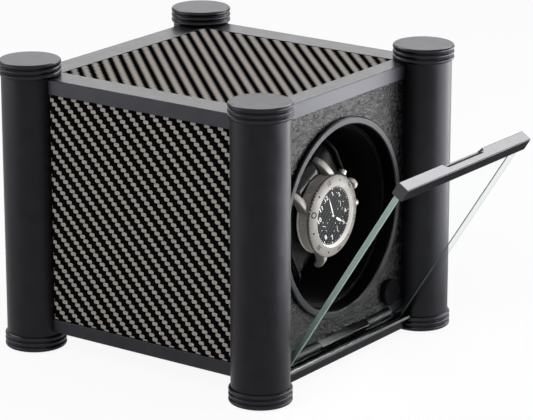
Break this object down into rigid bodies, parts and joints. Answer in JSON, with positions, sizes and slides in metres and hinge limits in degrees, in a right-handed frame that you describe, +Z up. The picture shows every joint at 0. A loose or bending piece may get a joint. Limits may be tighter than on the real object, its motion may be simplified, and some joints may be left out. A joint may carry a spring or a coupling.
{
  "type": "watch winder box",
  "caption": "Watch winder box: round ribbed columns, carbon sides, a leather front with a ringed opening, a motor-driven rotor holding a watch on a cushion, and a tilting glass door.",
  "frame": {"origin": "on the floor under the middle of the case, midway between the four columns", "axes": "+Z up, the door and the opening face -Y, +X to the right seen from the front"},
  "size_m": [0.1814, 0.2418, 0.158],
  "materials": {
    "anodised": "satin black anodised",
    "carbon": "two by two twill carbon weave under clear lacquer",
    "black_sheet": "fine textured black paint",
    "leather_front": "pebbled black leather",
    "cushion_leather": "soft black leather with a piped seam",
    "strap_leather": "polished black leather",
    "clear_glass": "clear float glass with a pale green edge",
    "crystal": "clear, polished",
    "watch_steel": "brushed and polished steel",
    "black_plastic": "moulded, matt",
    "gloss_black": "gloss black",
    "pad_rubber": "soft rubber",
    "board_wood": "raw fibreboard",
    "bright_metal": "machined",
    "plain_steel": "zinc plated or turned",
    "gear_plastic": "natural moulded",
    "pinion_brass": "turned",
    "board_green": "glass-fibre circuit board",
    "wire_cover": "insulated wire"
  },
  "bodies": {
    "case": {"column_front_left": "anodised", "column_front_right": "anodised", "column_rear_left": "anodised", "column_rear_right": "anodised", "cap_front_left": "anodised", "cap_front_right": "anodised", "cap_rear_left": "anodised", "cap_rear_right": "anodised", "foot_front_left": "anodised", "foot_front_right": "anodised", "foot_rear_left": "anodised", "foot_rear_right": "anodised", "top_frame": "anodised", "bottom_frame": "anodised", "bezel_ring": "anodised", "hinge_barrel_left": "anodised", "hinge_barrel_right": "anodised", "top_panel": "carbon", "side_panel_left": "carbon", "side_panel_right": "carbon", "back_panel": "black_sheet", "bottom_plate": "black_sheet", "front_leather": "leather_front", "selector_switch": "black_plastic", "power_inlet": "black_plastic", "board_parts": "black_plastic", "spindle_bushes": "black_plastic", "foot_pads": "pad_rubber", "front_board": "board_wood", "drive_plate": "bright_metal", "bearing_housing": "bright_metal", "tie_rods": "plain_steel", "corner_screws": "plain_steel", "back_panel_screws": "plain_steel", "machine_screws": "plain_steel", "hinge_screws": "plain_steel", "catch_magnets": "plain_steel", "inlet_nut": "plain_steel", "gear_motor": "plain_steel", "board_standoffs": "pinion_brass", "control_board": "board_green", "wiring": "wire_cover"},
    "door": {"door_glass": "clear_glass", "door_handle": "anodised", "door_bar": "anodised", "glass_grub_screws": "plain_steel", "hinge_pin": "plain_steel", "handle_bumpers": "pad_rubber"},
    "rotor": {"rotor_cup": "black_plastic", "rotor_screws": "plain_steel", "rotor_spindle": "plain_steel", "driven_gear": "gear_plastic", "spindle_clip": "plain_steel", "cushion_cradle": "black_plastic", "watch_cushion": "cushion_leather", "watch_strap": "strap_leather", "watch_case": "watch_steel", "watch_crystal": "crystal"},
    "pinion": {"motor_pinion": "pinion_brass"},
    "knob": {"selector_knob": "gloss_black"}
  },
  "joints": [
    {"name": "door_hinge", "type": "hinge", "parent": "case", "child": "door", "pos_m": [0, -0.0734, 0.0146], "axis": [1, 0, 0], "range_deg": [-32.7, 22]},
    {"name": "rotor_spin", "type": "hinge", "parent": "case", "child": "rotor", "pos_m": [0, 0, 0.079], "axis": [0, 1, 0], "continuous": true},
    {"name": "pinion_spin", "type": "hinge", "parent": "case", "child": "pinion", "pos_m": [0, 0.0375, 0.04275], "axis": [0, 1, 0], "continuous": true},
    {"name": "selector_turn", "type": "hinge", "parent": "case", "child": "knob", "pos_m": [0.0455, -0.0722, 0.026], "axis": [0, 1, 0], "range_deg": [-150, 150]}
  ],
  "couplings": [
    {"joint": "pinion_spin", "follows": "rotor_spin", "ratio": -5}
  ]
}
